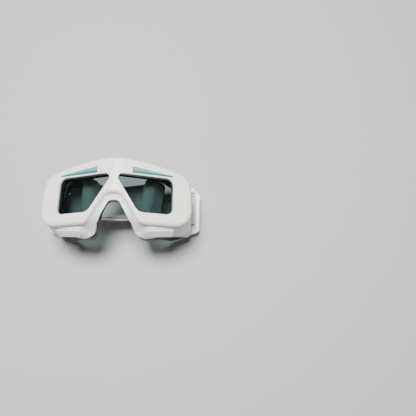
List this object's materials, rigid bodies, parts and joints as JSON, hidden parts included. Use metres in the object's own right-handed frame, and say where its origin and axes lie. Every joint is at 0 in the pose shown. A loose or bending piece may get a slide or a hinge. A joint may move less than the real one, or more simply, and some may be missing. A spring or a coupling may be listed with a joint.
{
  "type": "protective goggles",
  "caption": "Wraparound fit-over goggles with two flat tinted filter plates in a white moulded frame, soft face seal, vents and an elastic head strap folded inside.",
  "frame": {"origin": "centre of the footprint, on the surface that the goggles lie on, lens side up", "axes": "+X to the right seen from the front of the lenses, +Y towards the forehead, +Z out of the lenses"},
  "size_m": [0.1606, 0.0771, 0.08],
  "materials": {
    "frame_white": "satin moulded",
    "filter_teal": "polished",
    "gasket_black": "matt",
    "retainer_black": "matt",
    "screw_steel": "bright",
    "seal_black": "soft matt",
    "trim_grey": "satin",
    "foam_grey": "open foam",
    "strap_webbing": "woven elastic",
    "slider_white": "satin"
  },
  "bodies": {
    "goggles": {"frame_shell": "frame_white", "filter_plate_left": "filter_teal", "filter_plate_right": "filter_teal", "lens_gasket_left": "gasket_black", "lens_gasket_right": "gasket_black", "lens_retainer_left": "retainer_black", "lens_retainer_right": "retainer_black", "retainer_screws_left": "screw_steel", "retainer_screws_right": "screw_steel", "face_seal": "seal_black", "seal_edge_trim": "trim_grey", "vent_cover_lower_left": "frame_white", "vent_cover_lower_right": "frame_white", "vent_cover_upper_left": "frame_white", "vent_cover_upper_right": "frame_white", "vent_filter_lower_left": "foam_grey", "vent_filter_lower_right": "foam_grey", "vent_filter_upper_left": "foam_grey", "vent_filter_upper_right": "foam_grey", "head_strap": "strap_webbing"},
    "slider": {"strap_slider": "slider_white"}
  },
  "joints": [
    {"name": "slider_travel", "type": "slide", "parent": "goggles", "child": "slider", "axis": [1, 0, 0], "range_m": [-0.003, 0.004]}
  ]
}
